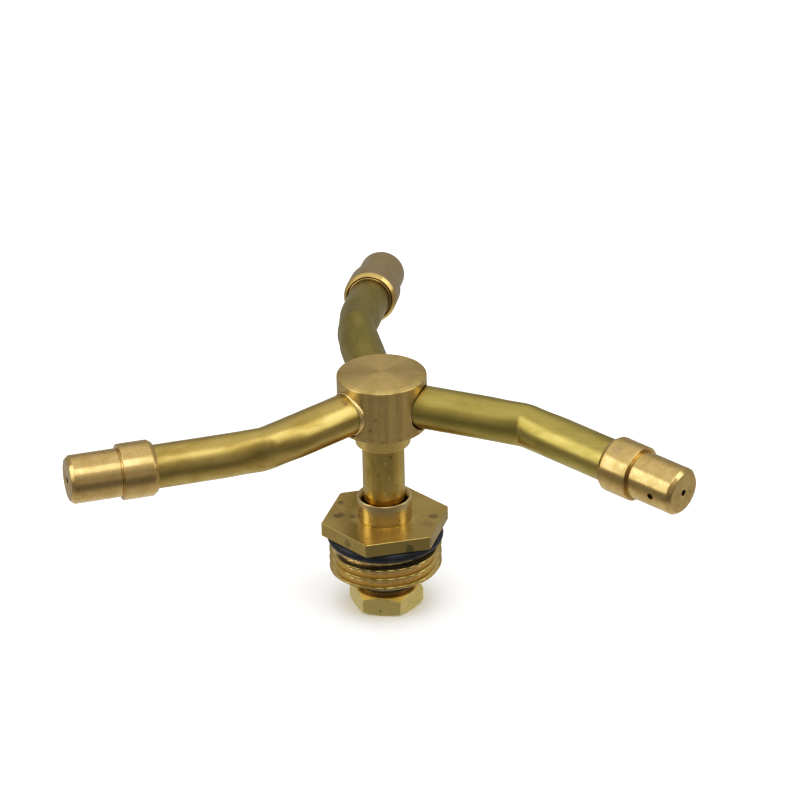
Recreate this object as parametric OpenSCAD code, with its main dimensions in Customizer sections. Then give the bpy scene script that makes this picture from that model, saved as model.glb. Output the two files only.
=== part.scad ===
// Three-arm whirling sprinkler with a G 1/2 male inlet.
// Frame: origin on the spindle axis at the underside of the hex flange,
// +Z up towards the arms, +X through one corner of the hex flange.

/* [Inlet bushing] */
// Outside diameter of the parallel inlet thread
thread_d = 20.955; // [20.9:0.005:21]
// Pitch of the inlet thread
thread_pitch = 1.814; // [1.7:0.001:1.9]
// Depth of the inlet thread form
thread_depth = 1.162; // [1:0.001:1.2]
// Distance from the flange underside to the lower end of the thread
thread_end = 8.2; // [8:0.01:8.6]
// Hex flange size across flats
flange_af = 21; // [20.6:0.1:22]
// Hex flange thickness
flange_t = 2.6; // [2.2:0.1:3.2]
// Outside diameter of the spindle socket that stands on the flange
socket_d = 10.16; // [10:0.02:10.6]
// Height of the socket rim above the flange underside
socket_top = 6.9; // [6.4:0.1:7.4]
// Mouth diameter of the funnel at the socket rim
mouth_d = 9.4; // [9.2:0.1:9.5]
// Section diameter of the flange seal ring
flange_seal_d = 2.2; // [2:0.1:2.2]
// Outside diameter of the flange seal ring
flange_seal_od = 21.7; // [21.6:0.1:22]

/* [Spindle] */
// Outside diameter of the spindle tube
spindle_d = 7.8; // [7.8:0.02:7.84]
// Bore of the spindle tube
spindle_bore = 5.5; // [5:0.1:5.8]
// Radial running clearance between spindle and sleeve
running_fit = 0.05; // [0.03:0.01:0.08]
// Locking nut size across flats
nut_af = 12.1; // [12:0.1:12.5]
// Locking nut height
nut_h = 3.75; // [3.5:0.05:4]
// Direction of one corner of the locking nut
nut_turn = -22.3; // [-30:0.1:30]
// Outside diameter of the thrust washers
washer_d = 10.6; // [10:0.1:11]
// Thickness of each brass thrust washer
washer_t = 0.8; // [0.7:0.05:0.85]
// Thickness of the soft thrust washer between them
soft_washer_t = 2.04; // [1.8:0.02:2.1]

/* [Hub] */
// Hub diameter
hub_d = 16.4; // [16.2:0.1:17]
// Height of the hub underside
hub_z0 = 21.75; // [21.6:0.05:21.8]
// Height of the hub top at its rim
hub_z1 = 32.2; // [32:0.1:33]
// Diameter of the neck under the hub
neck_d = 10.2; // [10:0.1:10.6]
// Height of the neck underside
neck_z = 18; // [17.8:0.1:18.2]
// Height of the arm axes at the hub axis
arm_z = 26.66; // [26.5:0.01:27]

/* [Arms] */
// Outside diameter of the arm tubes
arm_d = 7.94; // [7.9:0.02:8]
// Bore of the arm tubes
arm_bore = 5.9; // [5.4:0.1:5.9]
// Distance from the hub axis to the bend of each arm
arm_leg = [28, 26.7, 27.9]; // [25:0.1:32]
// Distance from the bend of each arm to its nozzle collar
arm_tail = [17, 20.45, 19.4]; // [16:0.05:24]
// Centre-line radius of the bend
bend_r = 14; // [12:0.5:16]
// Direction of each arm at the hub
arm_turn = [87.45, 204.1, 325.8]; // [0:0.05:360]
// Rise of each arm at the hub
arm_rise = [1.5, -2.8, -1.2]; // [-3.5:0.1:3.5]
// Bend angle of each arm, clockwise from above
arm_bend = [21.7, 20.8, 19.3]; // [14:0.1:26]
// Downward roll of each bend about its arm
bend_dip = [20.4, -8.5, 7.5]; // [-24:0.1:24]

/* [Nozzles] */
// Collar diameter
collar_d = 10.2; // [10.1:0.1:10.5]
// Collar length
collar_l = 6.3; // [5.8:0.05:7.5]
// Nozzle cap diameter
cap_d = 8.8; // [8.4:0.1:9.2]
// Nozzle cap length beyond the collar
cap_l = 9.45; // [8.5:0.05:10.5]
// Diameter of the jet hole in the end face
end_jet_d = 1; // [0.6:0.1:1.4]
// Diameter of the jet hole in the side
side_jet_d = 1.1; // [0.6:0.1:1.4]
// Distance of the side jet hole from the end face
side_jet_x = 4.1; // [3.6:0.1:5]

/* [Hidden] */
$fn = 96;

// Colours
brass_turned = [0.78, 0.62, 0.33];
brass_drawn = [0.70, 0.62, 0.25];
brass_nozzle = [0.80, 0.64, 0.38];
brass_nut = [0.66, 0.57, 0.28];
solder = [0.85, 0.72, 0.42];
black_rubber = [0.06, 0.06, 0.08];
white_nylon = [0.86, 0.85, 0.80];

// Small distances
fit_gap = 0.05;      // soldering clearance round a tube in its socket
touch_gap = 0.02;    // air left between thrust faces
over = 1;            // overshoot of cutting tools

// Radii
thread_r = thread_d / 2;
root_r = thread_r - thread_depth;
spindle_r = spindle_d / 2;
arm_r = arm_d / 2;
hub_r = hub_d / 2;
neck_r = neck_d / 2;
collar_r = collar_d / 2;
cap_r = cap_d / 2;
seal_r = flange_seal_d / 2;

// Heights under the bushing
washer_z2 = -thread_end - touch_gap;             // top of the washer stack
washer_z1 = washer_z2 - washer_t;
washer_z0 = washer_z1 - soft_washer_t;
nut_z1 = washer_z0 - washer_t - touch_gap;        // top of the locking nut
nut_z0 = nut_z1 - nut_h;

// Depths inside the hub and the nozzles
spindle_top = 22.3;      // upper end of the spindle in the hub
arm_start = 4.6;         // inner end of each arm tube
arm_seat = 5;            // depth of the tube in its nozzle
chamber_r = 3;           // water chamber radius, hub and nozzles
sleeve_r = 5;            // outer radius of the spindle sleeve
sleeve_top = -2.2;       // upper end of the spindle sleeve
gland_r = 5.55;          // radius of the spindle seal groove
gland_z = [-1, 0.9];     // spindle seal groove
thread_top = -3.2;       // highest full crest of the inlet thread
crest_w = 0.3;           // flat on each thread crest
flank = thread_depth * tan(27.5);
bend_lap = 2.5;            // degrees by which each bend laps the straight legs

// A solid or ring revolved about Z from [radius, height] points
module revolved(points) rotate_extrude() polygon(points);

// A straight rod along +X
module rod(r, x0, x1) translate([x0, 0, 0]) rotate([0, 90, 0]) cylinder(r = r, h = x1 - x0);

// A ring round X, from [radius, distance along X] points
module revolved_x(points) rotate([0, 90, 0]) rotate_extrude() polygon(points);

// A flat ring
module washer(ro, ri, z0, z1)
    difference() {
        translate([0, 0, z0]) cylinder(r = ro, h = z1 - z0);
        translate([0, 0, z0 - over]) cylinder(r = ri, h = z1 - z0 + 2 * over);
    }

// A seal ring with a round section
module seal_ring(r, section_r, z)
    translate([0, 0, z]) rotate_extrude() translate([r, 0]) circle(r = section_r, $fn = 48);

// Children placed with +X along the inner leg of arm k, rolled into its bend plane
module on_arm(k)
    translate([0, 0, arm_z]) rotate([0, 0, arm_turn[k]]) rotate([0, -arm_rise[k], 0])
        rotate([bend_dip[k], 0, 0]) children();

// Children placed with +X along the nozzle axis, origin at the collar's rear face
module on_nozzle(k)
    on_arm(k) translate([arm_leg[k], 0, 0]) rotate([0, 0, -arm_bend[k]])
        translate([arm_tail[k], 0, 0]) children();

// The centre-line shape of arm k swept with radius r; the bend stands
// 0.05 mm proud and laps the straight legs, so that the three stay one solid
module bent_rod(k, r, x0, x1) {
    t = bend_r * tan(arm_bend[k] / 2);
    rod(r, x0, arm_leg[k] - t);
    translate([arm_leg[k] - t, -bend_r, 0]) rotate([0, 0, 90 - arm_bend[k] - bend_lap])
        rotate_extrude(angle = arm_bend[k] + 2 * bend_lap)
            translate([bend_r, 0]) circle(r = r + 0.05);
    translate([arm_leg[k], 0, 0]) rotate([0, 0, -arm_bend[k]]) rod(r, t, x1);
}

// One bent arm tube
module arm_tube(k)
    color(brass_drawn) on_arm(k) difference() {
        bent_rod(k, arm_r, arm_start, arm_tail[k] + arm_seat);
        bent_rod(k, arm_bore / 2, arm_start - over, arm_tail[k] + arm_seat + over);
    }

// Filler ring left in the hub's counterbore round arm k
module arm_solder_ring(k)
    color(solder) on_arm(k) revolved_x([
        [arm_r + touch_gap, 6.2], [arm_r + 0.26, 6.2], [arm_r + 0.26, 7.4],
        [arm_r + 0.16, 7.5], [arm_r + touch_gap, 7.5]]);

// Turned nozzle with its collar, tube seat, water chamber and two jet holes
module nozzle(k)
    color(brass_nozzle) on_nozzle(k) difference() {
        revolved_x([
            [arm_r + 0.35, 0], [collar_r - 0.6, 0], [collar_r, 0.9],
            [collar_r, collar_l - 0.15], [collar_r - 0.15, collar_l],
            [cap_r, collar_l], [cap_r, collar_l + cap_l - 0.5],
            [cap_r - 0.5, collar_l + cap_l], [0, collar_l + cap_l],
            [0, collar_l + cap_l - 1.6], [chamber_r - 0.9, collar_l + cap_l - 1.6],
            [chamber_r, collar_l + cap_l - 2.2], [chamber_r, arm_seat],
            [arm_r + fit_gap, arm_seat], [arm_r + fit_gap, 0.7], [arm_r + 0.35, 0.7]]);
        rod(end_jet_d / 2, collar_l + cap_l - 2.5, collar_l + cap_l + over);
        translate([collar_l + cap_l - side_jet_x, 0, 0]) rotate([90, 0, 0])
            translate([0, 0, chamber_r - 0.6]) cylinder(r = side_jet_d / 2, h = 3, $fn = 48);
    }

// Filler ring in the rear counterbore of nozzle k
module nozzle_solder_ring(k)
    color(solder) on_nozzle(k) revolved_x([
        [arm_r + touch_gap, 0.15], [arm_r + 0.2, 0.15], [arm_r + 0.31, 0.26],
        [arm_r + 0.31, 0.68], [arm_r + touch_gap, 0.68]]);

// Turned hub with its neck, spindle socket, water chamber and three arm sockets
module rotor_hub()
    color(brass_turned) difference() {
        revolved([
            [0, hub_z1 + 0.35], [4, hub_z1 + 0.28], [hub_r - 1, hub_z1 + 0.05],
            [hub_r - 0.3, hub_z1 - 0.15], [hub_r, hub_z1 - 0.5],
            [hub_r, hub_z0 + 0.15], [hub_r - 0.15, hub_z0], [neck_r, hub_z0],
            [neck_r, neck_z + 0.2], [neck_r - 0.2, neck_z], [spindle_r + fit_gap, neck_z],
            [spindle_r + fit_gap, neck_z + 1.2], [spindle_r + 0.45, neck_z + 1.2],
            [spindle_r + 0.45, neck_z + 2], [spindle_r + fit_gap, neck_z + 2],
            [spindle_r + fit_gap, spindle_top], [chamber_r, spindle_top],
            [chamber_r, 29], [0, 30.2]]);
        for (k = [0:2]) on_arm(k) {
            rod(arm_bore / 2, 1, arm_start + over);
            rod(arm_r + fit_gap, arm_start, hub_r + over);
            rod(arm_r + 0.3, 6.2, hub_r + over);
        }
    }

// Hollow spindle, with ridges where the locking nut is screwed on
module spindle_tube()
    color(brass_drawn) difference() {
        union() {
            translate([0, 0, nut_z1 - 0.1]) cylinder(r = spindle_r, h = spindle_top - nut_z1 + 0.1);
            translate([0, 0, nut_z0 + 0.3]) cylinder(r = spindle_r - 0.5, h = nut_h);
            for (i = [0:2]) translate([0, 0, nut_z0 + 0.75 + i])
                revolved([[spindle_r - 0.6, -0.3], [spindle_r - 0.5, -0.3], [spindle_r, -0.06],
                          [spindle_r, 0.06], [spindle_r - 0.5, 0.3], [spindle_r - 0.6, 0.3]]);
        }
        translate([0, 0, nut_z0 - over]) cylinder(r = spindle_bore / 2, h = 60);
    }

// Filler ring in the groove of the hub's neck
module spindle_solder_ring()
    color(solder) washer(spindle_r + 0.42, spindle_r + touch_gap, neck_z + 1.23, neck_z + 1.97);

// Hexagonal locking nut, chamfered at both ends
module spindle_lock_nut()
    color(brass_nut) difference() {
        intersection() {
            translate([0, 0, nut_z0]) rotate([0, 0, nut_turn])
                cylinder(r = nut_af / 2 / cos(30), h = nut_h, $fn = 6);
            revolved([[0, nut_z0], [nut_af / 2 - 0.15, nut_z0],
                      [nut_af / 2 / cos(30) + 0.01, nut_z0 + 0.6],
                      [nut_af / 2 / cos(30) + 0.01, nut_z1 - 0.6],
                      [nut_af / 2 - 0.15, nut_z1], [0, nut_z1]]);
        }
        translate([0, 0, nut_z0 - over]) cylinder(r = spindle_r - 0.45, h = nut_h + 2 * over);
        revolved([[0, nut_z0 - 0.01], [spindle_r + 0.2, nut_z0 - 0.01],
                  [spindle_r - 0.46, nut_z0 + 0.6], [0, nut_z0 + 0.6]]);
        translate([0, 0, nut_z1 - 0.2]) cylinder(r = spindle_r + 0.05, h = over);
    }

// Inlet bushing: hex flange, spindle socket and inlet thread in one turned piece
module inlet_bushing()
    color(brass_turned) difference() {
        union() {
            cylinder(r = flange_af / 2 / cos(30), h = flange_t, $fn = 6);
            revolved([[0, 1], [socket_d / 2, 1], [socket_d / 2, socket_top - 0.25],
                      [socket_d / 2 - 0.25, socket_top], [0, socket_top]]);
            translate([0, 0, -2.3]) cylinder(r = 8.6, h = 3);
            intersection() {
                union() {
                    translate([0, 0, -thread_end]) cylinder(r = root_r, h = thread_end - 2.25);
                    for (i = [0:3]) translate([0, 0, thread_top - i * thread_pitch])
                        revolved([[root_r - 0.3, crest_w / 2 + flank], [root_r, crest_w / 2 + flank],
                                  [thread_r, crest_w / 2], [thread_r, -crest_w / 2],
                                  [root_r, -crest_w / 2 - flank], [root_r - 0.3, -crest_w / 2 - flank]]);
                }
                revolved([[0, -thread_end], [root_r + 0.25, -thread_end],
                          [thread_r + 0.5, -thread_end + thread_depth + 0.25],
                          [thread_r + 0.5, 0], [0, 0]]);
            }
        }
        revolved([[0, socket_top + over], [mouth_d / 2, socket_top + over], [mouth_d / 2, socket_top],
                  [spindle_r + 0.3, socket_top - 0.6], [spindle_r + 0.3, 2.2],
                  [spindle_r + 0.2, 2.2], [spindle_r + 0.2, gland_z[1]], [gland_r, gland_z[1]],
                  [gland_r, gland_z[0]], [spindle_r + 0.2, gland_z[0]], [spindle_r + 0.2, sleeve_top],
                  [sleeve_r, sleeve_top], [sleeve_r, -thread_end - over], [0, -thread_end - over]]);
    }

// Rubber ring under the flange
module flange_seal_ring()
    color(black_rubber) seal_ring(flange_seal_od / 2 - seal_r, seal_r, -seal_r);

// Plastic bearing sleeve that the spindle turns in
module spindle_sleeve()
    color(white_nylon) washer(sleeve_r, spindle_r + running_fit, -thread_end, sleeve_top);

// Rubber ring that seals the spindle inside the bushing
module spindle_seal_ring()
    color(black_rubber) seal_ring(spindle_r + running_fit + 0.78, 0.78, (gland_z[0] + gland_z[1]) / 2);

// Thrust stack between bushing and locking nut
module thrust_washer_upper()
    color(brass_turned) washer(washer_d / 2, spindle_r + 0.1, washer_z1, washer_z2);

module thrust_washer_soft()
    color(white_nylon) washer(washer_d / 2 - 0.2, spindle_r + 0.1, washer_z0, washer_z1);

module thrust_washer_lower()
    color(brass_turned) washer(washer_d / 2, spindle_r + 0.1, washer_z0 - washer_t, washer_z0);

rotor_hub();
arm_tube(0);  // arm_tube_1
arm_tube(1);  // arm_tube_2
arm_tube(2);  // arm_tube_3
arm_solder_ring(0);  // arm_solder_ring_1
arm_solder_ring(1);  // arm_solder_ring_2
arm_solder_ring(2);  // arm_solder_ring_3
nozzle(0);  // nozzle_1
nozzle(1);  // nozzle_2
nozzle(2);  // nozzle_3
nozzle_solder_ring(0);  // nozzle_solder_ring_1
nozzle_solder_ring(1);  // nozzle_solder_ring_2
nozzle_solder_ring(2);  // nozzle_solder_ring_3
spindle_tube();
spindle_solder_ring();
spindle_lock_nut();
inlet_bushing();
flange_seal_ring();
spindle_sleeve();
spindle_seal_ring();
thrust_washer_upper();
thrust_washer_soft();
thrust_washer_lower();
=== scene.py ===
import bpy
import bmesh
import math
import numpy as np
from mathutils import Matrix, Vector


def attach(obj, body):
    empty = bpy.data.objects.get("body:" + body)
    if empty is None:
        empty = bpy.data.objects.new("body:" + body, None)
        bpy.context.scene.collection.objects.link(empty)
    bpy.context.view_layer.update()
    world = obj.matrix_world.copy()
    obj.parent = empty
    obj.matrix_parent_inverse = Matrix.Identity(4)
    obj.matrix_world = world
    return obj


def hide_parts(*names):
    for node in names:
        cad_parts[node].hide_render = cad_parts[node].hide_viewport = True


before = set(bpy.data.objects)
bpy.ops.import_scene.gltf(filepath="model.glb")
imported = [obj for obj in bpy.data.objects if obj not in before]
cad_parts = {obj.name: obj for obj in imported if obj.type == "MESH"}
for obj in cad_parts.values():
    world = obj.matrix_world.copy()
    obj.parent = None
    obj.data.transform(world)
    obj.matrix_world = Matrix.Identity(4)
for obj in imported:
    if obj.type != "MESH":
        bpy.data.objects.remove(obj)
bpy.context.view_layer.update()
MM = 0.001

# ------------------------------------------------------------------ sizes (mm), as in the CAD
ZC = 13.1                                   # the camera stands this much round from the hex corner
THREAD_R, PITCH, ROOT_R = 10.4775, 1.814, 9.3155
HEX_R, HEX_T = 10.5, 2.6                    # flange: half across flats, thickness
SOCK_R, SOCK_Z, MOUTH_R = 5.08, 6.9, 4.15
SP_R, SP_BORE = 3.9, 2.75
NUT_AP, NUT_Z0, NUT_Z1, NUT_TURN = 6.05, -15.63, -11.88, -22.3
HUB_R, HUB_Z0, HUB_Z1 = 8.25, 21.75, 32.2
NECK_R, NECK_Z, ARM_Z = 5.1, 18.0, 26.66
ARM_R, ARM_B = 3.97, 2.95
LEG, TAIL = (28.0, 26.7, 27.9), (17.0, 20.45, 19.4)
TURN = (87.45, 204.1, 325.8)
RISE = (1.5, -2.8, -1.2)
BEND = (21.7, 20.8, 19.3)
DIP = (20.4, -8.5, 7.5)
COL_R, COL_L, CAP_R, CAP_L = 5.1, 6.3, 4.4, 9.45

# ------------------------------------------------------------------ frames along an arm
def rot(axis, deg):
    return Matrix.Rotation(math.radians(deg), 4, axis)


def on_arm(k):
    return Matrix.Translation((0, 0, ARM_Z)) @ rot("Z", TURN[k]) @ rot("Y", -RISE[k]) @ rot("X", DIP[k])


def on_nozzle(k):
    return on_arm(k) @ Matrix.Translation((LEG[k], 0, 0)) @ rot("Z", -BEND[k]) @ Matrix.Translation((TAIL[k], 0, 0))


# ------------------------------------------------------------------ mesh helpers
def make(name, verts, faces, sharp=32.0, smooth=True):
    """A mesh object from mm points; faces smooth, edges sharper than `sharp` degrees kept."""
    me = bpy.data.meshes.new(name)
    me.from_pydata([Vector(v) * MM for v in verts], [], faces)
    me.validate()
    bm = bmesh.new()
    bm.from_mesh(me)
    bmesh.ops.recalc_face_normals(bm, faces=bm.faces)
    bm.to_mesh(me)
    bm.free()
    if smooth:
        me.polygons.foreach_set("use_smooth", [True] * len(me.polygons))
        me.set_sharp_from_angle(angle=math.radians(sharp))
    ob = bpy.data.objects.new(name, me)
    bpy.context.scene.collection.objects.link(ob)
    return ob


def rings(name, rows, closed=False, cap0=None, cap1=None, sharp=32.0):
    """Rows of equally many points become a tube; closed joins the last row to the first."""
    n = len(rows[0])
    verts = [p for r in rows for p in r]
    faces = []
    m = len(rows)
    for i in range(m if closed else m - 1):
        a, b = i * n, ((i + 1) % m) * n
        for j in range(n):
            k = (j + 1) % n
            faces.append((a + j, a + k, b + k, b + j))
    for cap, row in ((cap0, 0), (cap1, m - 1)):
        if cap is not None:
            verts.append(cap)
            c = len(verts) - 1
            for j in range(n):
                faces.append((row * n + j, row * n + (j + 1) % n, c))
    return make(name, verts, faces, sharp)


def round_profile(points, default=0.0, steps=5):
    """Round the corners of an (r, z[, radius]) polyline. Returns (r, z) points."""
    pts = [(p[0], p[1], p[2] if len(p) > 2 else default) for p in points]
    out = []
    for i, (x, y, rad) in enumerate(pts):
        if rad <= 0 or i == 0 or i == len(pts) - 1:
            out.append((x, y))
            continue
        p, a, b = Vector((x, y)), Vector(pts[i - 1][:2]), Vector(pts[i + 1][:2])
        u, v = (a - p), (b - p)
        lu, lv = u.length, v.length
        u.normalize(), v.normalize()
        ang = u.angle(v)
        if ang > math.pi - 0.02:
            out.append((x, y))
            continue
        t = min(rad / math.tan(ang / 2), lu * 0.49, lv * 0.49)
        rr = t * math.tan(ang / 2)
        c = p + (u + v).normalized() * (rr / math.sin(ang / 2))
        s, e = p + u * t - c, p + v * t - c
        a0 = math.atan2(s.y, s.x)
        da = math.atan2(e.y, e.x) - a0
        da = (da + math.pi) % (2 * math.pi) - math.pi
        for q in range(steps + 1):
            w = a0 + da * q / steps
            out.append((c.x + rr * math.cos(w), c.y + rr * math.sin(w)))
    return out


def lathe(name, profile, n=192, closed=False, M=None, sharp=32.0, wobble=None):
    """Revolve an (r, z) profile about Z. A point on the axis becomes a pole."""
    M = M or Matrix.Identity(4)
    cap0 = cap1 = None
    prof = list(profile)
    if not closed:
        if prof[0][0] < 1e-6:
            cap0 = M @ Vector((0, 0, prof[0][1]))
            prof = prof[1:]
        if prof[-1][0] < 1e-6:
            cap1 = M @ Vector((0, 0, prof[-1][1]))
            prof = prof[:-1]
    rows = []
    for r, z in prof:
        row = []
        for j in range(n):
            a = 2 * math.pi * j / n
            rr = r + (wobble(a, r, z) if wobble else 0.0)
            row.append(M @ Vector((rr * math.cos(a), rr * math.sin(a), z)))
        rows.append(row)
    return rings(name, rows, closed, cap0, cap1, sharp)


def cut(ob, tools, sharp=32.0):
    """Subtract tool objects exactly, then remove them."""
    for t in tools:
        mod = ob.modifiers.new("cut", "BOOLEAN")
        mod.operation = "DIFFERENCE"
        mod.solver = "EXACT"
        mod.object = t
    bpy.context.view_layer.update()
    dg = bpy.context.evaluated_depsgraph_get()
    me = bpy.data.meshes.new_from_object(ob.evaluated_get(dg))
    ob.modifiers.clear()
    old = ob.data
    ob.data = me
    me.name = ob.name
    bpy.data.meshes.remove(old)
    for t in tools:
        d = t.data
        bpy.data.objects.remove(t)
        bpy.data.meshes.remove(d)
    bm = bmesh.new()
    bm.from_mesh(me)
    bmesh.ops.remove_doubles(bm, verts=bm.verts, dist=2e-7)
    bmesh.ops.dissolve_degenerate(bm, edges=bm.edges, dist=1e-7)
    bmesh.ops.recalc_face_normals(bm, faces=bm.faces)
    bm.to_mesh(me)
    bm.free()
    me.polygons.foreach_set("use_smooth", [True] * len(me.polygons))
    me.set_sharp_from_angle(angle=math.radians(sharp))
    return ob


def x_axis(M):
    """Turn a Z-revolved shape so that its axis lies along the local +X of M."""
    return M @ rot("Y", 90)


def rod(M, r, x0, x1, n=64):
    return lathe("tool", [(0, x0), (r, x0), (r, x1), (0, x1)], n, M=x_axis(M))


# ------------------------------------------------------------------ shapes
def hex_r(a, half, corner):
    """Radius of a regular hexagon at angle a; corner is one corner's direction in degrees."""
    d = (math.degrees(a) - corner) % 60.0 - 30.0
    return half / math.cos(math.radians(d))


def hub():
    prof = [(0, HUB_Z1 + 0.36)]
    for r in (1.0, 2.0, 3.0, 4.0, 5.0, 6.0, 6.8, 7.3):
        prof.append((r, HUB_Z1 + 0.36 - 0.42 * (r / 7.6) ** 2))
    prof += [(7.30, HUB_Z1 - 0.02, 0.9), (HUB_R, HUB_Z1 - 0.34, 0.22), (HUB_R, HUB_Z0, 0.16), (NECK_R, HUB_Z0, 0.10),
             (NECK_R, NECK_Z, 0.28), (SP_R + 0.05, NECK_Z, 0.08), (SP_R + 0.05, NECK_Z + 1.2),
             (SP_R + 0.45, NECK_Z + 1.2), (SP_R + 0.45, NECK_Z + 2), (SP_R + 0.05, NECK_Z + 2),
             (SP_R + 0.05, 22.3), (3.0, 22.3), (3.0, 29.0), (0, 30.2)]
    ob = lathe("hub_body", round_profile(prof, steps=7), 256)
    tools = []
    for k in range(3):
        M = on_arm(k)
        tools.append(lathe("tool", [(0, 1), (ARM_B, 1), (ARM_B, 4.6), (ARM_R + 0.05, 4.6),
                                    (ARM_R + 0.05, 6.2), (ARM_R + 0.32, 6.2), (ARM_R + 0.32, 9.5), (0, 9.5)],
                           96, M=x_axis(M)))
    return cut(ob, tools, 28)


def arm(k):
    """A bent tube: its wall is pulled flat on the outside of the bend and creased on the inside."""
    M = on_arm(k)
    leg, tail = LEG[k], TAIL[k]
    th = math.radians(BEND[k])
    R = 7.0                                     # centre-line radius of the visible bend
    t = R * math.tan(th / 2)
    path = []                                   # (point, direction angle, distance past the bend centre)
    s0 = 4.6
    for x in np.concatenate([np.arange(s0, leg - 9, 1.2), np.arange(leg - 9, leg - t - 0.01, 0.3)]):
        path.append(((x, 0.0), 0.0, x - leg))
    nb = 24
    for i in range(nb + 1):
        w = th * i / nb
        path.append(((leg - t + R * math.sin(w), -R + R * math.cos(w)), -w, (i / nb - 0.5) * R * th))
    cs, sn = math.cos(th), math.sin(th)
    for x in np.concatenate([np.arange(t + 0.3, 9, 0.3), np.arange(9, tail + 5 - 0.2, 1.2), [tail + 5]]):
        path.append(((leg + x * cs, -x * sn), -th, x))
    n = 96
    half = 6.6                                  # half length of the flattened outside
    rows_o, rows_i = [], []
    for (px, py), w, s in path:
        ax = Vector((-math.sin(w), math.cos(w), 0))      # across, towards the outside of the bend
        ro, ri = [], []
        crease = math.exp(-(s / 1.6) ** 2)               # the pinched line on the inside
        broad = math.exp(-(s / 4.0) ** 2)                # the swelling above and below it
        q = half - abs(s)
        pull = 0.5 * (q + math.sqrt(q * q + 1.2)) * math.tan(th / 2) - 0.22 * math.exp(-(s / 1.4) ** 2)
        for j in range(n):
            a = 2 * math.pi * j / n
            c, z = math.cos(a), math.sin(a)              # c > 0 is the outside of the bend
            dr = -0.16 * crease * max(0.0, -c) ** 3 - 0.16 * broad * max(0.0, -c) ** 2
            dr -= 0.92 * pull * max(0.0, c) ** 1.7
            dr += 0.24 * broad * z * z * (0.4 + 0.6 * abs(z))
            p = Vector((px, py, 0))
            rr = ARM_R + dr
            ro.append(M @ (p + ax * (rr * c) + Vector((0, 0, rr * z))))
            rr = ARM_B + dr
            ri.append(M @ (p + ax * (rr * c) + Vector((0, 0, rr * z))))
        rows_o.append(ro)
        rows_i.append(ri)
    return rings("arm_%d" % (k + 1), rows_o + rows_i[::-1], closed=True, sharp=50)


def nozzle(k):
    M = on_nozzle(k)
    L = COL_L + CAP_L
    prof = [(ARM_R + 0.40, 0.7), (ARM_R + 0.40, 0.0, 0.14), (COL_R - 0.55, 0.0, 0.30), (COL_R, 0.80, 0.28),
            (COL_R, COL_L, 0.20), (CAP_R + 0.14, COL_L), (CAP_R - 0.08, COL_L - 0.12, 0.05),
            (CAP_R - 0.10, COL_L + 0.20, 0.05), (CAP_R, COL_L + 0.32, 0.08),
            (CAP_R, L - 0.72, 0.35), (CAP_R - 0.62, L, 0.30), (0.0, L)]
    prof = round_profile(prof, steps=5)
    inner = [(0.0, L - 1.6), (2.1, L - 1.6), (3.0, L - 2.2), (3.0, 5.0), (ARM_R + 0.05, 5.0),
             (ARM_R + 0.05, 0.7)]
    pr = prof[:-1]
    # outer skin and inner chamber meet through the end jet
    j = 0.5
    loop = pr + [(j + 0.10, L), (j, L - 0.10), (j, L - 1.6)] + inner[1:]
    ob = lathe("nozzle_body_%d" % (k + 1), loop, 160, closed=True, M=x_axis(M))
    side = lathe("tool", [(0, 2.4), (0.55, 2.4), (0.55, 4.22), (0.62, 4.7), (0, 4.7)], 40,
                 M=M @ Matrix.Translation((L - 4.1, 0, 0)) @ rot("X", 90))
    return cut(ob, [side], 30)


def bead(name, M, r_in, r_out, x0, x1, seed, rough=0.03, n=144):
    """A thin solder ring with a soft, slightly uneven outer face."""
    rng = np.random.RandomState(seed)
    ph = rng.uniform(0, 6.28, 8)
    am = rng.uniform(0.3, 1.0, 8)

    def wob(a, r, z):
        if r < (r_in + r_out) / 2:
            return 0.0
        return rough * sum(am[i] * math.sin((i + 2) * a + ph[i]) for i in range(8)) / 3.0
    w = (x1 - x0)
    prof = [(r_in, x0), (r_in, x1)]
    for i in range(9):
        q = math.pi * i / 8
        prof.append((r_in + 0.02 + (r_out - r_in - 0.02) * math.sin(q) ** 0.7,
                     (x0 + x1) / 2 + (w / 2) * math.cos(q)))
    return lathe(name, prof, n, closed=True, M=x_axis(M), wobble=wob, sharp=60)


def spindle():
    z0 = NUT_Z0 + 0.3
    prof = [(SP_R, 22.3), (SP_R, -11.9), (SP_R - 0.05, -12.0)]
    z = -12.1
    while z > z0 + 0.7:
        prof += [(SP_R - 0.10, z), (SP_R - 0.5, z - 0.28), (SP_R - 0.5, z - 0.42), (SP_R - 0.10, z - 0.70)]
        z -= 1.0
    prof += [(SP_R - 0.5, z0 + 0.15), (SP_R - 0.65, z0), (SP_BORE + 0.1, z0), (SP_BORE, z0 + 0.1), (SP_BORE, 22.3)]
    return lathe("spindle_body", prof, 160, closed=True)


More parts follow.
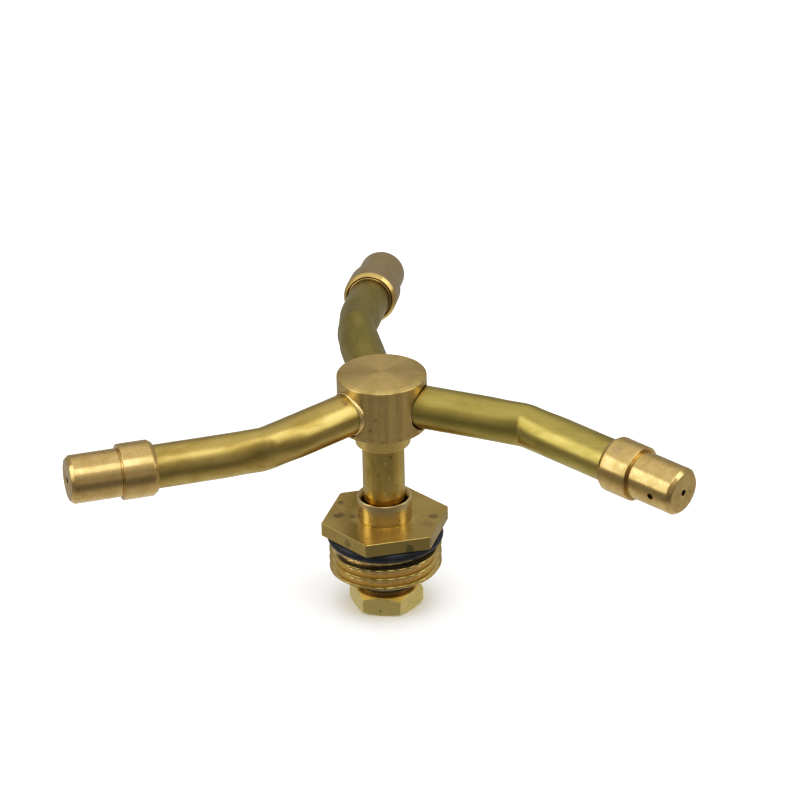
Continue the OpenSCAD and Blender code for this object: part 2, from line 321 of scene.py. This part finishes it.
def bushing():
    """Hex flange, socket and helical thread as one turned piece."""
    n = 360
    end = -8.2
    crest_front, a_front = -3.64, math.radians(-93.6 - ZC)

    def thread(a, z):
        """Radius of the thread surface at angle a and height z."""
        p = (z - crest_front - PITCH * (a - a_front) / (2 * math.pi)) / PITCH
        p = abs(p - round(p)) * PITCH                   # distance from the nearest crest
        flat, fl = 0.13, (THREAD_R - ROOT_R) * math.tan(math.radians(27.5))
        q = (p - flat) / fl
        q = min(1.0, max(0.0, q))
        q = q * q * (3 - 2 * q) * 0.35 + q * 0.65       # slightly rounded crest and root
        r = THREAD_R - (THREAD_R - ROOT_R) * q
        top = min(1.0, max(0.0, (-2.30 - z) / 0.45))    # run-out under the sealing ring
        r = ROOT_R + 0.05 + (r - ROOT_R - 0.05) * top
        r -= 0.05 * max(0.0, math.sin(3.1 * a + 1.3 * z) * math.sin(7.7 * a - 2.1 * z + 1.0)) * (1.0 - q)
        ch = ROOT_R + 0.62 + (z - end) * 1.1            # lead-in
        return min(r, ch)

    rows = []

    def ring(f):
        rows.append([Vector((f(2 * math.pi * j / n) * math.cos(2 * math.pi * j / n),
                             f(2 * math.pi * j / n) * math.sin(2 * math.pi * j / n), z)) for j in range(n)])

    # socket, from the bore's mouth outwards and down
    for r, z in round_profile([(MOUTH_R, 4.0), (MOUTH_R, SOCK_Z - 0.62, 0.10), (4.74, SOCK_Z, 0.14), (SOCK_R, SOCK_Z, 0.24),
                               (SOCK_R, HEX_T + 0.02)], steps=6):
        ring(lambda a, r=r: r)
    z = HEX_T
    ring(lambda a: SOCK_R + 0.10)
    for q in (0.3, 0.6, 0.85, 0.96):
        ring(lambda a, q=q: (SOCK_R + 0.10) * (1 - q) + q * min(hex_r(a, HEX_R, 0), HEX_R / math.cos(math.pi / 6) - 0.05))
    cr = HEX_R / math.cos(math.pi / 6) - 0.05
    ring(lambda a: min(hex_r(a, HEX_R, 0), cr) - 0.09)
    z = HEX_T - 0.07
    ring(lambda a: min(hex_r(a, HEX_R, 0), cr))
    z = HEX_T - 0.3
    ring(lambda a: min(hex_r(a, HEX_R, 0), cr))
    z = 0.3
    ring(lambda a: min(hex_r(a, HEX_R, 0), cr))
    z = 0.07
    ring(lambda a: min(hex_r(a, HEX_R, 0), cr))
    z = 0.0
    ring(lambda a: min(hex_r(a, HEX_R, 0), cr) - 0.09)
    ring(lambda a: 9.0)
    ring(lambda a: 8.62)
    z = -0.05
    ring(lambda a: 8.6)
    z = -2.15
    ring(lambda a: 8.6)
    z = -2.24
    ring(lambda a: 8.75)
    for z in np.arange(-2.28, end - 1e-6, -0.0605):
        ring(lambda a, z=z: thread(a, z))
    z = end
    ring(lambda a: thread(a, end))
    for r, z in [(ROOT_R - 0.2, end), (6.5, end), (5.15, end), (5.0, end + 0.15), (5.0, -2.2), (4.1, -2.2), (4.1, -1.0),
                 (5.55, -1.0), (5.55, 0.9), (4.1, 0.9), (4.1, 2.2), (MOUTH_R, 2.2)]:
        ring(lambda a, r=r: r)
    return rings("bushing_body", rows, closed=True, sharp=33)


def nut():
    """Hexagon nut; the end chamfers are true cones, so each flat ends in curves."""
    n = 360
    rows = []

    def ring(z, f):
        rows.append([Vector((f(2 * math.pi * j / n) * math.cos(2 * math.pi * j / n),
                             f(2 * math.pi * j / n) * math.sin(2 * math.pi * j / n), z)) for j in range(n)])
    corner = NUT_AP / math.cos(math.pi / 6)

    def f_at(z):
        d0, d1 = z - NUT_Z0, NUT_Z1 - z
        cone = NUT_AP - 0.10 + min(d0 * 1.7, d1 * 1.55)
        return lambda a: min(hex_r(a, NUT_AP, NUT_TURN), corner - 0.04, cone)
    ring(NUT_Z1 - 0.35, lambda a: SP_R - 0.40)
    ring(NUT_Z1 - 0.02, lambda a: SP_R + 0.15)
    ring(NUT_Z1, lambda a: SP_R + 0.2)
    ring(NUT_Z1, lambda a: NUT_AP - 0.5)
    for d in (0.0, 0.04, 0.08, 0.14, 0.2, 0.26, 0.32, 0.38, 0.44, 0.5, 0.56, 0.62, 0.8):
        ring(NUT_Z1 - d, f_at(NUT_Z1 - d))
    for d in (0.9, 0.66, 0.6, 0.54, 0.48, 0.42, 0.36, 0.3, 0.24, 0.18, 0.12, 0.06, 0.0):
        ring(NUT_Z0 + d, f_at(NUT_Z0 + d))
    ring(NUT_Z0, lambda a: NUT_AP - 0.5)
    ring(NUT_Z0, lambda a: SP_R + 0.2)
    ring(NUT_Z0 + 0.35, lambda a: SP_R - 0.40)
    return rings("nut_body", rows, closed=True, sharp=24)


def seal(name, R, r, z, squash=1.0, n=192, m=28):
    prof = []
    for i in range(m):
        q = 2 * math.pi * i / m
        prof.append((R + r * math.cos(q), z + r * squash * math.sin(q)))
    return lathe(name, prof, n, closed=True, sharp=80)


def flat_ring(name, ri, ro, z0, z1, e=0.08, n=128):
    prof = round_profile([(ri, (z0 + z1) / 2), (ri, z0, e), (ro, z0, e), (ro, z1, e), (ri, z1, e), (ri, (z0 + z1) / 2 + 0.01)], steps=3)
    return lathe(name, prof[:-1], n, closed=True)


# ------------------------------------------------------------------ materials
class Tree:
    """Small helper round a material's node tree."""

    def __init__(self, name):
        self.mat = bpy.data.materials.new(name)
        self.mat.use_nodes = True
        self.t = self.mat.node_tree
        self.t.nodes.clear()
        self.out = self.n("ShaderNodeOutputMaterial")
        self.bsdf = self.n("ShaderNodeBsdfPrincipled")
        self.t.links.new(self.bsdf.outputs[0], self.out.inputs[0])

    def n(self, kind, **props):
        nd = self.t.nodes.new(kind)
        for k, v in props.items():
            setattr(nd, k, v)
        return nd

    def put(self, sock, val):
        if isinstance(val, bpy.types.NodeSocket):
            self.t.links.new(val, sock)
        elif val is not None:
            sock.default_value = val

    def math(self, op, a, b=None, c=None, clamp=False):
        nd = self.n("ShaderNodeMath", operation=op, use_clamp=clamp)
        self.put(nd.inputs[0], a)
        if b is not None:
            self.put(nd.inputs[1], b)
        if c is not None:
            self.put(nd.inputs[2], c)
        return nd.outputs[0]

    def vec(self, op, a, b=None, scale=None):
        nd = self.n("ShaderNodeVectorMath", operation=op)
        self.put(nd.inputs[0], a)
        if b is not None:
            self.put(nd.inputs[1], b)
        if scale is not None:
            self.put(nd.inputs["Scale"], scale)
        return nd.outputs["Value"] if op in ("LENGTH", "DISTANCE", "DOT_PRODUCT") else nd.outputs[0]

    def comb(self, x, y, z):
        nd = self.n("ShaderNodeCombineXYZ")
        for s, v in zip(nd.inputs, (x, y, z)):
            self.put(s, v)
        return nd.outputs[0]

    def noise(self, vector, scale=1.0, detail=3.0, rough=0.55, dist=0.0):
        nd = self.n("ShaderNodeTexNoise")
        self.put(nd.inputs["Vector"], vector)
        nd.inputs["Scale"].default_value = scale
        nd.inputs["Detail"].default_value = detail
        nd.inputs["Roughness"].default_value = rough
        nd.inputs["Distortion"].default_value = dist
        return nd.outputs["Fac"]

    def step(self, v, a, b, to0=0.0, to1=1.0):
        nd = self.n("ShaderNodeMapRange", interpolation_type="SMOOTHSTEP")
        self.put(nd.inputs["Value"], v)
        for k, x in (("From Min", a), ("From Max", b), ("To Min", to0), ("To Max", to1)):
            nd.inputs[k].default_value = x
        return nd.outputs[0]

    def mix(self, f, a, b, blend="MIX"):
        nd = self.n("ShaderNodeMix", data_type="RGBA", blend_type=blend)
        self.put(nd.inputs[0], f)
        for i, v in ((6, a), (7, b)):
            if isinstance(v, tuple):
                v = tuple(v) + (1.0,) if len(v) == 3 else v
            self.put(nd.inputs[i], v)
        return nd.outputs[2]


def brass(name, base, tarnish, mode, rough=0.28, streak=0.10, fine=6.0, mottle=0.35, mottle_scale=0.22,
          specks=0.25, speck_scale=1.3, bump=0.25, spots=(), aniso=0.0, dirt=(0.10, 0.07, 0.03), rvar=0.10, blotch=0.0,
          grit=0.08, valley=None, reflection_stripes=0.0, painted_light_band=None, inner=None):
    """Bare brass. mode says which way the tool marks run: turned about z or x, or drawn along z or x."""
    T = Tree(name)
    at = T.n("ShaderNodeAttribute", attribute_name="lp")
    P = at.outputs["Vector"]
    s = T.n("ShaderNodeSeparateXYZ")
    T.put(s.inputs[0], P)
    X, Y, Z = s.outputs
    if mode.endswith("x"):
        A, U, V = X, Y, Z
    else:
        A, U, V = Z, X, Y
    if mode.startswith("turned"):
        r = T.math("SQRT", T.math("ADD", T.math("MULTIPLY", U, U), T.math("MULTIPLY", V, V)))
        safe = T.math("MAXIMUM", r, 0.2)
        cu, cv = T.math("DIVIDE", U, safe), T.math("DIVIDE", V, safe)
        g1 = T.comb(T.math("MULTIPLY_ADD", r, fine, T.math("MULTIPLY", cu, 0.55)),
                    T.math("MULTIPLY_ADD", A, fine, T.math("MULTIPLY", cv, 0.55)), T.math("MULTIPLY", cu, 0.8))
        g2 = T.comb(T.math("MULTIPLY", r, fine * 0.23), T.math("MULTIPLY", A, fine * 0.23), T.math("MULTIPLY", cv, 0.5))
    else:
        g1 = T.comb(T.math("MULTIPLY", A, 0.16), T.math("MULTIPLY", U, fine * 0.75), T.math("MULTIPLY", V, fine * 0.75))
        g2 = T.comb(T.math("MULTIPLY", A, 0.05), T.math("MULTIPLY", U, fine * 0.2), T.math("MULTIPLY", V, fine * 0.2))
    lines = T.noise(g1, 1.0, 3.0, 0.6)
    bands = T.noise(g2, 1.0, 2.0, 0.5)
    if mode.startswith("drawn"):
        cloud = T.noise(T.comb(T.math("MULTIPLY", A, 0.35), U, V), mottle_scale, 3.0, 0.55, 0.4)
    else:
        cloud = T.noise(P, mottle_scale, 4.0, 0.6, 0.6)
    grain = T.noise(P, 7.0, 3.0, 0.7)
    spk = T.noise(P, speck_scale, 5.0, 0.7, 0.3)
    speck = T.step(spk, 0.62, 0.70)
    col = T.mix(T.math("MULTIPLY", T.step(cloud, 0.38, 0.68), mottle), base, tarnish)
    if blotch:
        bl = T.noise(P, 0.9, 3.0, 0.62, 1.0)
        col = T.mix(T.math("MULTIPLY", T.step(bl, 0.50, 0.66), blotch), col,
                    tuple(0.62 * c for c in tarnish))
    shade = T.math("MULTIPLY_ADD", lines, 2 * streak, 1.0 - streak)
    shade = T.math("MULTIPLY", shade, T.math("MULTIPLY_ADD", bands, streak, 1.0 - 0.5 * streak))
    if reflection_stripes:                                            # painted reflection: light and dark stripes up the side, fading out towards the axis
        rn = T.noise(T.comb(T.math("MULTIPLY", cu, 6.5), T.math("MULTIPLY", cv, 6.5), T.math("MULTIPLY", A, 0.05)), 1.0, 3.0, 0.6)
        rn = T.math("MULTIPLY_ADD", T.math("SUBTRACT", T.step(rn, 0.30, 0.70), 0.5), T.step(r, 5.5, 8.2, 0.15 * reflection_stripes, reflection_stripes), 1.0)
        shade = T.math("MULTIPLY", shade, rn)
    col = T.mix(1.0, col, T.comb(shade, shade, shade), "MULTIPLY")
    col = T.mix(T.math("MULTIPLY", speck, specks), col, dirt)
    if valley:                                          # another, paler and yellower tone in the thread roots below the sealing ring
        ztop, r_in, r_out, vcol, amount = valley
        rad = T.math("SQRT", T.math("ADD", T.math("MULTIPLY", X, X), T.math("MULTIPLY", Y, Y)))
        vm = T.math("MULTIPLY", T.step(rad, r_out, r_in), T.step(Z, ztop, ztop - 0.3))
        vm = T.math("MULTIPLY", vm, T.math("MULTIPLY_ADD", cloud, 0.6, amount - 0.3), clamp=True)
        col = T.mix(vm, col, vcol)
    rg = T.math("MULTIPLY_ADD", lines, rvar, rough - 0.5 * rvar)
    rg = T.math("MULTIPLY_ADD", T.step(cloud, 0.35, 0.7), 0.08, rg)
    rg = T.math("MULTIPLY_ADD", speck, 0.18 * specks, rg)
    for (cx, cy, cz), rad, colour, amount in spots:
        wob = T.noise(P, 1.1 / max(0.5, rad) + 0.35, 3.0, 0.6)
        d = T.vec("DISTANCE", P, (cx, cy, cz))
        d = T.math("MULTIPLY_ADD", wob, 1.5 * rad, T.math("SUBTRACT", d, 0.75 * rad))
        m = T.math("MULTIPLY", T.step(d, rad, rad * 0.45), amount)
        col = T.mix(m, col, colour)
        rg = T.math("MULTIPLY_ADD", m, 0.10, rg)
    if painted_light_band:                                           # painted light: a paler, lit tone past one place along the axis
        a0, a1, lit_band_col, amount = painted_light_band
        col = T.mix(T.math("MULTIPLY", T.step(A, a0, a1), T.math("MULTIPLY_ADD", cloud, 0.2, amount - 0.1), clamp=True),
                    col, lit_band_col)
    if inner:                                           # painted shade: the water way and the end jet darkened almost to black, with less metallic and less specular
        r_in, a_in = inner
        ax = T.math("SQRT", T.math("ADD", T.math("MULTIPLY", U, U), T.math("MULTIPLY", V, V)))
        inner_shade = T.math("MULTIPLY", T.step(ax, r_in + 0.1, r_in), T.step(A, a_in, a_in - 0.2))
        inner_shade = T.math("MAXIMUM", inner_shade, T.step(ax, 0.64, 0.56))
        col = T.mix(inner_shade, col, (0.03, 0.02, 0.012))
        rg = T.math("MULTIPLY_ADD", inner_shade, 0.6, rg)
    B = T.bsdf
    T.put(B.inputs["Base Color"], col)
    B.inputs["Metallic"].default_value = 1.0
    if inner:
        T.put(B.inputs["Metallic"], T.math("SUBTRACT", 1.0, inner_shade))
        T.put(B.inputs["Specular IOR Level"], T.math("MULTIPLY_ADD", inner_shade, -0.45, 0.5))
    T.put(B.inputs["Roughness"], rg)
    if aniso:
        B.inputs["Anisotropic"].default_value = aniso
        B.inputs["Anisotropic Rotation"].default_value = 0.25
        tv = T.n("ShaderNodeVectorTransform", vector_type="VECTOR", convert_from="OBJECT", convert_to="WORLD")
        T.put(tv.inputs[0], T.n("ShaderNodeAttribute", attribute_name="tg").outputs["Vector"])
        T.put(B.inputs["Tangent"], tv.outputs[0])
    h = T.math("MULTIPLY_ADD", grain, grit, T.math("MULTIPLY", lines, 1.0))
    h = T.math("SUBTRACT", h, T.math("MULTIPLY", speck, 0.4 * specks))
    bp = T.n("ShaderNodeBump")
    bp.inputs["Strength"].default_value = bump
    bp.inputs["Distance"].default_value = 0.00003
    T.put(bp.inputs["Height"], h)
    T.put(B.inputs["Normal"], bp.outputs[0])
    return T.mat


def rubber():
    T = Tree("rubber")
    at = T.n("ShaderNodeAttribute", attribute_name="lp")
    P = at.outputs["Vector"]
    n1, n2 = T.noise(P, 0.6, 3.0), T.noise(P, 6.0, 4.0, 0.7)
    T.put(T.bsdf.inputs["Base Color"], T.mix(T.step(n1, 0.35, 0.7), (0.010, 0.011, 0.016), (0.022, 0.023, 0.032)))
    T.put(T.bsdf.inputs["Roughness"], T.math("MULTIPLY_ADD", n2, 0.16, 0.30))
    T.bsdf.inputs["Specular IOR Level"].default_value = 0.6
    bp = T.n("ShaderNodeBump")
    bp.inputs["Strength"].default_value = 0.3
    bp.inputs["Distance"].default_value = 0.00004
    T.put(bp.inputs["Height"], n2)
    T.put(T.bsdf.inputs["Normal"], bp.outputs[0])
    return T.mat


def nylon(name, fresh, dull):
    T = Tree(name)
    at = T.n("ShaderNodeAttribute", attribute_name="lp")
    P = at.outputs["Vector"]
    n1, n2 = T.noise(P, 0.5, 3.0), T.noise(P, 5.0, 4.0, 0.7)
    T.put(T.bsdf.inputs["Base Color"], T.mix(T.step(n1, 0.3, 0.7), fresh, dull))
    T.put(T.bsdf.inputs["Roughness"], T.math("MULTIPLY_ADD", n2, 0.15, 0.38))
    bp = T.n("ShaderNodeBump")
    bp.inputs["Strength"].default_value = 0.2
    bp.inputs["Distance"].default_value = 0.00004
    T.put(bp.inputs["Height"], n2)
    T.put(T.bsdf.inputs["Normal"], bp.outputs[0])
    return T.mat


def tag(ob, M=None, local=None, axis=None):
    """Store each point's place in its own part's frame, in mm, for the procedural patterns."""
    me = ob.data
    n = len(me.vertices)
    if local is None:
        co = np.zeros(n * 3)
        me.vertices.foreach_get("co", co)
        co = co.reshape(-1, 3) / MM
        if M is not None:
            I = np.array(M.inverted())
            co = co @ I[:3, :3].T + I[:3, 3]
        local = co
    a = me.attributes.new("lp", "FLOAT_VECTOR", "POINT")
    a.data.foreach_set("vector", np.asarray(local, float).astype(np.float32).ravel())
    if axis is not None:                                # direction round the turning axis, in the part's frame
        t = np.zeros((n, 3))
        t[:, (axis + 1) % 3], t[:, (axis + 2) % 3] = -local[:, (axis + 2) % 3], local[:, (axis + 1) % 3]
        t /= np.maximum(np.linalg.norm(t, axis=1), 1e-6)[:, None]
        if M is not None:
            t = t @ np.array(M)[:3, :3].T
        a = me.attributes.new("tg", "FLOAT_VECTOR", "POINT")
        a.data.foreach_set("vector", t.astype(np.float32).ravel())


def place(ob, mat, body, node, M=None, local=None, axis=None):
    tag(ob, M, local, axis)
    ob.data.materials.clear()
    ob.data.materials.append(mat)
    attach(ob, body)
    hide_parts(node)
    return ob


# ------------------------------------------------------------------ the pieces
STAIN, OLIVE, PALE = (0.20, 0.15, 0.085), (0.24, 0.23, 0.09), (0.82, 0.70, 0.42)
m_hub = brass("brass_hub", (0.68, 0.515, 0.235), (0.57, 0.42, 0.17), "turned_z", rough=0.285, streak=0.08, fine=4.0,
              mottle=0.45, specks=0.35, speck_scale=1.1, bump=0.14, aniso=0.88, grit=0.05, rvar=0.08, reflection_stripes=0.22,
              # painted light: the neck under the hub is made paler, as if lit
              painted_light_band=(21.76, 21.60, (0.80, 0.615, 0.25), 0.85),
              spots=(((-3.7, -7.4, 22.5), 0.26, STAIN, 0.45), ((-2.0, -8.0, 22.1), 0.42, STAIN, 0.40),
                     ((-1.3, -8.1, 22.0), 0.24, STAIN, 0.50), ((1.4, -8.1, 22.2), 0.50, STAIN, 0.38),
                     ((2.9, -7.7, 22.7), 0.26, STAIN, 0.45),
                     ((-3.0, -7.7, 26.6), 0.40, STAIN, 0.45), ((-3.9, -7.2, 24.4), 0.45, STAIN, 0.4),
                     ((-1.2, -5.0, 18.2), 0.30, STAIN, 0.6)))
# one copy of the tube brass per arm; arm 1's and arm 3's copies are darker than arm 2's, painted shade for how each arm
# is lit
arm_looks = (((0.43, 0.35, 0.115), (0.325, 0.265, 0.085)), ((0.58, 0.445, 0.17), (0.44, 0.32, 0.10)),
             ((0.52, 0.425, 0.15), (0.405, 0.33, 0.10)))
arm_spots = ((), (((9.6, 1.0, 3.6), 0.8, (0.30, 0.17, 0.07), 0.6), ((30.0, -1.0, 3.0), 0.5, STAIN, 0.4)),
             (((33.5, -4.5, 2.0), 0.35, PALE, 0.6), ((30.5, -2.6, 2.6), 0.30, STAIN, 0.5)))
m_arm = [brass("brass_arm_%d" % (k + 1), arm_looks[k][0], arm_looks[k][1], "drawn_x", rough=(0.30, 0.285, 0.32)[k], streak=0.13, fine=2.2,
               mottle=0.75, mottle_scale=0.30, specks=0.30, speck_scale=1.9, bump=0.10, grit=0.05, rvar=0.07,
               spots=arm_spots[k])
         for k in range(3)]
noz_looks = (((0.58, 0.45, 0.25), (0.49, 0.37, 0.20)), ((0.705, 0.52, 0.245), (0.575, 0.405, 0.165)),
             ((0.71, 0.53, 0.245), (0.58, 0.415, 0.165)))
noz_spots = ((),
             (((2.0, -4.3, -2.8), 0.75, (0.34, 0.26, 0.11), 0.75), ((6.6, -3.5, 2.8), 0.4, STAIN, 0.5),
                  ((13.0, -2.4, 3.7), 0.4, STAIN, 0.35)),
             (((2.6, -1.5, 4.8), 1.5, (0.44, 0.36, 0.22), 0.38), ((15.7, -1.5, -2.0), 0.5, (0.50, 0.30, 0.14), 0.6),
              ((15.7, 1.8, -0.6), 0.4, (0.50, 0.30, 0.14), 0.5)))
m_nozzle = [brass("brass_nozzle_%d" % (k + 1), noz_looks[k][0], noz_looks[k][1], "turned_x", rough=0.235, streak=0.09,
                  fine=4.5, mottle=0.65, mottle_scale=0.40, specks=0.55, speck_scale=2.0, bump=0.18, aniso=0.70,
                  grit=0.10, rvar=0.08, spots=noz_spots[k], inner=(3.85, 15.5),
                  # painted highlight: the rear rim of nozzle 1's collar gets a brighter gold tone
                  painted_light_band=(0.80, 0.50, (0.75, 0.54, 0.20), 0.75) if k == 0 else None)
            for k in range(3)]
m_spindle = brass("brass_spindle", (0.63, 0.475, 0.17), (0.46, 0.335, 0.095), "drawn_z", rough=0.21, streak=0.15,
                  fine=2.2, mottle=0.7, mottle_scale=0.36, specks=0.7, speck_scale=1.9, bump=0.08, grit=0.03, rvar=0.05,
                  spots=(((-0.5, -3.9, 15.4), 0.40, PALE, 0.6), ((-0.8, -3.8, 9.2), 0.36, PALE, 0.6),
                         ((0.2, -3.9, 12.2), 0.30, PALE, 0.5), ((-1.9, -3.4, 12.9), 0.36, STAIN, 0.5),
                         ((1.6, -3.5, 10.4), 0.32, STAIN, 0.5), ((0.5, -3.8, 16.6), 0.40, STAIN, 0.45)))
m_bush = brass("brass_bushing", (0.615, 0.47, 0.19), (0.505, 0.375, 0.14), "turned_z", rough=0.235, streak=0.05, fine=3.0,
               mottle=0.60, mottle_scale=0.14, specks=0.20, speck_scale=0.9, bump=0.03, rvar=0.03, grit=0.01,
               valley=(-2.3, 9.45, 10.3, (0.97, 0.79, 0.46), 1.15),
               # painted light: the socket above the flange is made paler, standing for its lit rim
               painted_light_band=(2.68, 2.95, (0.76, 0.625, 0.36), 0.92),
               spots=(((-8.3, 2.0, 2.6), 1.35, STAIN, 0.65), ((-5.9, 0.9, 2.6), 0.9, STAIN, 0.5),
                      ((-6.9, 6.8, 2.6), 0.85, STAIN, 0.6), ((8.6, -3.1, 2.6), 1.15, STAIN, 0.60),
                      ((6.5, -9.8, 1.3), 0.95, STAIN, 0.55), ((-8.55, -6.2, 1.1), 0.95, STAIN, 0.50),
                      ((2.1, -10.5, 0.6), 1.15, OLIVE, 0.85), ((4.2, 6.5, 2.6), 0.9, STAIN, 0.45),
                      ((-9.9, -3.0, 1.4), 0.6, STAIN, 0.4), ((7.0, -5.6, 2.6), 1.6, STAIN, 0.25)))
m_nut = brass("brass_nut", (0.96, 0.79, 0.35), (0.85, 0.69, 0.28), "turned_z", rough=0.33, streak=0.05, fine=3.0,
              mottle=0.55, mottle_scale=0.35, specks=0.4, bump=0.08, blotch=0.15, grit=0.04, rvar=0.05,
              spots=(((-2.6, -5.6, -14.6), 0.4, STAIN, 0.5), ((3.1, -5.6, -13.0), 0.35, STAIN, 0.4),
                     ((1.0, -6.2, -15.2), 0.45, STAIN, 0.35)))
# painted shade: the thrust washers' brass is darkened for the shadow under the bushing
m_washer_shaded = brass("brass_washer_shaded", (0.30, 0.205, 0.08), (0.22, 0.15, 0.055), "turned_z", rough=0.38)
m_solder = brass("solder_ring", (0.80, 0.64, 0.32), (0.68, 0.51, 0.22), "drawn_x", rough=0.19, streak=0.04, specks=0.2,
                 grit=0.03, rvar=0.05)
m_rubber = rubber()
m_nylon = nylon("nylon", (0.74, 0.73, 0.66), (0.60, 0.58, 0.50))
# painted shade: the soft washer's nylon is darkened for the shadow it sits in
m_nylon_shaded = nylon("nylon_shaded", (0.17, 0.14, 0.09), (0.11, 0.085, 0.05))

place(hub(), m_hub, "rotor", "rotor_hub", axis=2)
for k in range(3):
    M = on_arm(k)
    place(arm(k), m_arm[k], "rotor", "arm_tube_%d" % (k + 1), M)
    place(bead("arm_bead_%d" % (k + 1), M, ARM_R + 0.02, ARM_R + (0.29, 0.31, 0.24)[k], 6.3, (7.6, 8.2, 7.2)[k], 11 + k,
               0.02), m_solder, "rotor",
          "arm_solder_ring_%d" % (k + 1), M)
    N = on_nozzle(k)
    place(nozzle(k), m_nozzle[k], "rotor", "nozzle_%d" % (k + 1), N, axis=0)
    place(bead("nozzle_bead_%d" % (k + 1), N, ARM_R + 0.02, ARM_R + 0.25, 0.12, 0.7, 21 + k, 0.015), m_solder, "rotor",
          "nozzle_solder_ring_%d" % (k + 1), N)
place(spindle(), m_spindle, "rotor", "spindle_tube")
place(flat_ring("spindle_bead", SP_R + 0.02, SP_R + 0.42, NECK_Z + 1.23, NECK_Z + 1.97), m_solder, "rotor",
      "spindle_solder_ring")
place(nut(), m_nut, "rotor", "spindle_lock_nut")
place(bushing(), m_bush, "base", "inlet_bushing")
place(seal("flange_ring", 9.75, 1.1, -1.1), m_rubber, "base", "flange_seal_ring")
place(seal("gland_ring", 4.73, 0.78, -0.05), m_rubber, "base", "spindle_seal_ring")
place(flat_ring("sleeve", SP_R + 0.05, 5.0, -8.2, -2.2), m_nylon, "base", "spindle_sleeve")
place(flat_ring("washer_top", 4.0, 5.3, -9.02, -8.22), m_washer_shaded, "thrust_stack", "thrust_washer_upper")
place(flat_ring("washer_mid", 4.0, 5.1, -11.06, -9.02), m_nylon_shaded, "thrust_stack", "thrust_washer_soft")
place(flat_ring("washer_low", 4.0, 5.3, -11.86, -11.06), m_washer_shaded, "thrust_stack", "thrust_washer_lower")

# ------------------------------------------------------------------ camera
cam_data = bpy.data.cameras.new("cam")
cam = bpy.data.objects.new("cam", cam_data)
bpy.context.scene.collection.objects.link(cam)
cam_data.sensor_width = 36
cam_data.lens = 184.773
cam_data.clip_start, cam_data.clip_end = 0.05, 20
cam.matrix_world = Matrix(((0.971579, 0.124676, -0.201222, -0.147720),
                           (-0.235985, 0.4434, -0.864701, -0.649237),
                           (-0.018586, 0.88761, 0.46022, 0.371625),
                           (0, 0, 0, 1)))
bpy.context.scene.camera = cam


# ------------------------------------------------------------------ floor, world, lights
HEAD = Matrix.Rotation(math.radians(-ZC), 3, "Z")     # turns the camera's heading into the part's frame


def floor_paint():
    T = Tree("floor_paint")
    at = T.n("ShaderNodeTexCoord")
    n1 = T.noise(at.outputs["Object"], 3.0, 2.0)
    T.put(T.bsdf.inputs["Base Color"], T.mix(n1, (0.945, 0.945, 0.945), (0.955, 0.955, 0.95)))
    T.bsdf.inputs["Roughness"].default_value = 0.9
    T.bsdf.inputs["Specular IOR Level"].default_value = 0.05
    return T.mat


fz = (NUT_Z0 - 0.02) * MM
me = bpy.data.meshes.new("floor")
me.from_pydata([(-4, -4, fz), (4, -4, fz), (4, 4, fz), (-4, 4, fz)], [], [(0, 1, 2, 3)])
floor = bpy.data.objects.new("floor", me)
bpy.context.scene.collection.objects.link(floor)
me.materials.append(floor_paint())
floor.visible_glossy = False                          # the brass mirrors the studio, not the bright floor

world = bpy.data.worlds.new("world")
bpy.context.scene.world = world
world.use_nodes = True
W = Tree.__new__(Tree)
W.t = world.node_tree
W.t.nodes.clear()
W.out = W.n("ShaderNodeOutputWorld")
W.bg = W.n("ShaderNodeBackground")
W.t.links.new(W.bg.outputs[0], W.out.inputs[0])
gen = W.n("ShaderNodeTexCoord").outputs["Generated"]
right, ahead = HEAD @ Vector((1, 0, 0)), HEAD @ Vector((0, 1, 0))
dx = W.vec("DOT_PRODUCT", gen, tuple(right))
dy = W.vec("DOT_PRODUCT", gen, tuple(ahead))
dz = W.vec("DOT_PRODUCT", gen, (0, 0, 1))
back = W.step(dy, -0.55, 0.45)                         # 0 in front of the object, 1 behind it
roof = W.step(dz, 0.30, 0.95)
high = W.math("MULTIPLY_ADD", roof, 0.46, 0.42)
low = W.math("MULTIPLY_ADD", back, 0.20, W.math("MULTIPLY_ADD", W.step(W.math("ABSOLUTE", dx), 0.35, 0.9), 0.06, 0.225))
low = W.math("MULTIPLY_ADD", W.step(dz, -0.40, -0.90), 0.34, low)
above = W.step(dz, -0.22, 0.10)
L = W.math("ADD", W.math("MULTIPLY", high, above), W.math("MULTIPLY", low, W.math("SUBTRACT", 1.0, above)))
W.put(W.bg.inputs[0], W.comb(L, L, L))
W.bg.inputs[1].default_value = 1.0


def soft_box(name, az, el, dist, sx, sy, radiance, glossy=True, aim=(0, 0, 0.012)):
    """A rectangular soft light. az is 0 towards the camera and 90 to its right, el is up from the horizon."""
    d = bpy.data.lights.new(name, "AREA")
    d.shape = "RECTANGLE"
    d.size, d.size_y, d.energy = sx, sy, 4.0 * sx * sy * radiance
    o = bpy.data.objects.new(name, d)
    bpy.context.scene.collection.objects.link(o)
    ca, ce = math.radians(az), math.radians(el)
    w = HEAD @ Vector((math.sin(ca) * math.cos(ce), -math.cos(ca) * math.cos(ce), math.sin(ce))) * dist
    t = Vector(aim)
    o.location = t + w
    o.rotation_euler = (-w).to_track_quat("-Z", "Y").to_euler()
    o.visible_glossy = glossy
    return o


soft_box("soft_left", -76, 24, 0.9, 0.55, 0.75, 1.25)
soft_box("soft_right", 76, 35, 0.9, 0.50, 0.80, 1.05)
soft_box("soft_front", 8, 60, 0.9, 0.45, 0.42, 1.15)
soft_box("fill", 0, 90, 1.6, 2.2, 2.2, 1.15, glossy=False)

view = bpy.context.scene.view_settings
view.view_transform = "Standard"
view.use_curve_mapping = True                          # a gentle camera-like contrast curve
curve = view.curve_mapping.curves[3]
curve.points[0].location, curve.points[-1].location = (0, 0), (1, 1)
for p in ((0.06, 0.03), (0.17, 0.122), (0.30, 0.262), (0.50, 0.49), (0.72, 0.735)):
    curve.points.new(*p)
view.curve_mapping.update()

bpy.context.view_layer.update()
